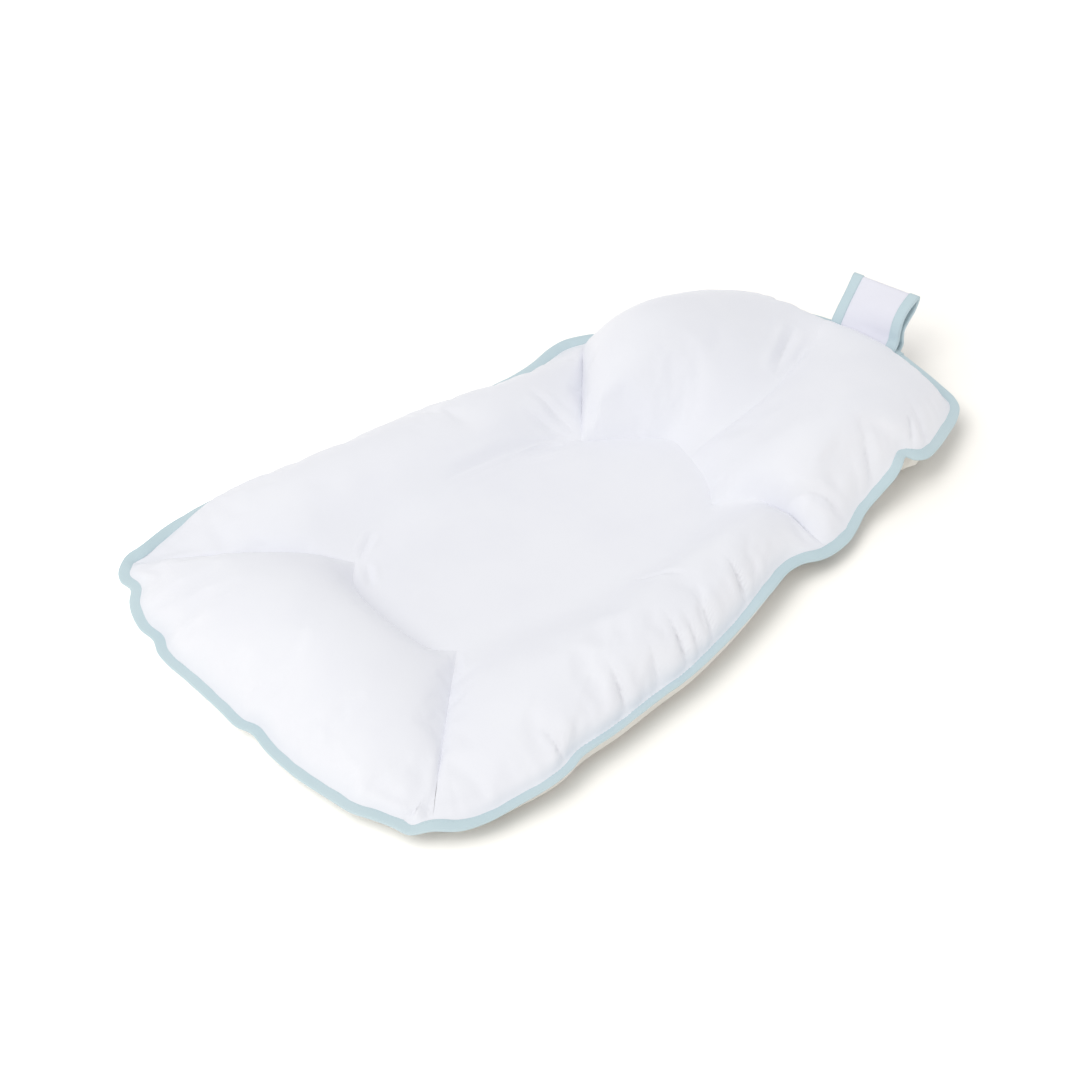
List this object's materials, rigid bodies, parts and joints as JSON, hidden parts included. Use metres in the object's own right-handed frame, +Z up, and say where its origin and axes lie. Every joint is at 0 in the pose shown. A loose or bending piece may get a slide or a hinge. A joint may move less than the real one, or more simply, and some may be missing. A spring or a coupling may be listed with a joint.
{
  "type": "baby bath mattress",
  "caption": "Soft padded mattress with raised foot, side and head chambers round a shallow lying hollow, edged with pale blue binding, with a hanging loop at the head.",
  "frame": {"origin": "on the floor, at the middle of the body's flat underside", "axes": "+Z up, +Y along the length from the foot end to the head end, +X to the right seen from the foot end"},
  "size_m": [0.378, 0.6426, 0.075],
  "materials": {
    "white_fabric": "matte",
    "blue_tape": "matte",
    "white_ribbon": "satin",
    "bead_fill": "matte"
  },
  "bodies": {
    "mattress": {"base_panel": "white_fabric", "foot_panel": "white_fabric", "right_side_panel": "white_fabric", "right_head_panel": "white_fabric", "left_head_panel": "white_fabric", "left_side_panel": "white_fabric", "centre_panel": "white_fabric", "foot_fill": "bead_fill", "right_side_fill": "bead_fill", "right_head_fill": "bead_fill", "left_head_fill": "bead_fill", "left_side_fill": "bead_fill", "centre_fill": "bead_fill", "edge_binding": "blue_tape", "hang_loop_upper_tail": "white_fabric", "hang_loop_lower_tail": "white_fabric"},
    "loop": {"hang_loop": "white_fabric", "hang_loop_left_binding": "blue_tape", "hang_loop_right_binding": "blue_tape"},
    "tab": {"side_tab": "white_ribbon"}
  },
  "joints": [
    {"name": "loop_swing", "type": "hinge", "parent": "mattress", "child": "loop", "pos_m": [0, 0.30775, 0.026], "axis": [1, 0, 0], "range_deg": [-80, 28], "stiffness_Nm_per_rad": 0.01},
    {"name": "tab_flap", "type": "hinge", "parent": "mattress", "child": "tab", "pos_m": [-0.1717, -0.0183, 0.01872], "axis": [0.1335, 0.991, 0], "range_deg": [-25, 70], "stiffness_Nm_per_rad": 0.001}
  ]
}
